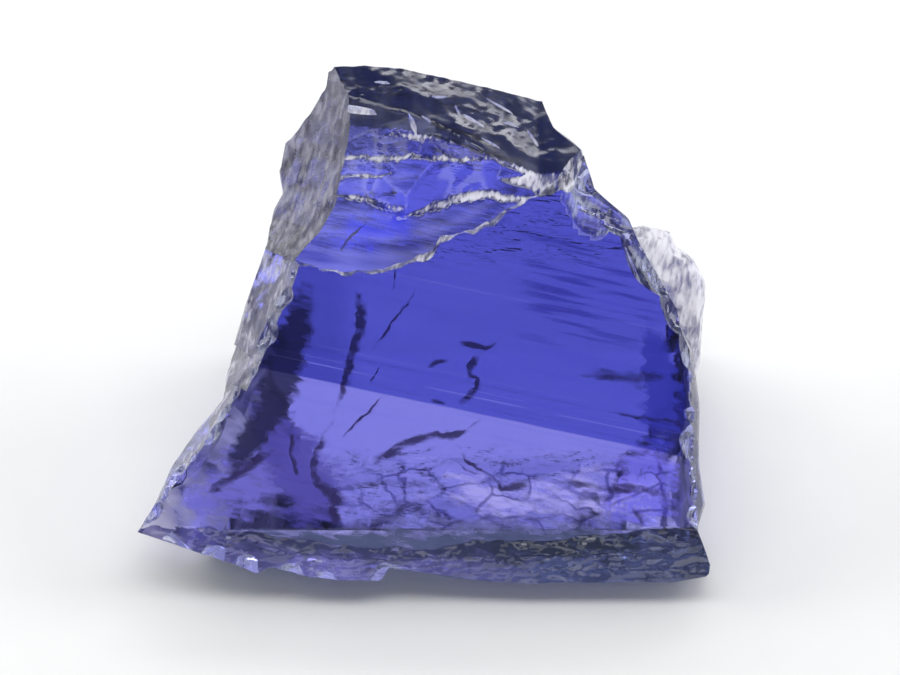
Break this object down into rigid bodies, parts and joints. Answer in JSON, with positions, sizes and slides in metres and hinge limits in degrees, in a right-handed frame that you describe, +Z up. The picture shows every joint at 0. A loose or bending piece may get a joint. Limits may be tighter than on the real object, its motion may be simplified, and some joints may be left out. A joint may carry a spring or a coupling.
{
  "type": "rough tanzanite crystal",
  "caption": "Broken see-through violet-blue crystal with one broad slanting flat face, a scooped break above it, a stepped lower edge and a flat break to lie on.",
  "frame": {"origin": "middle of the stone's bounding box, on the ground it lies on", "axes": "+Z up, +X along the stone's greatest length, from the sharp left tip to the blunt right side, -Y towards the broad flat face"},
  "size_m": [0.0162, 0.011, 0.011],
  "materials": {
    "tanzanite": "glassy broken surfaces, clear violet-blue body"
  },
  "bodies": {
    "root": {"tanzanite_crystal": "tanzanite"}
  },
  "joints": []
}
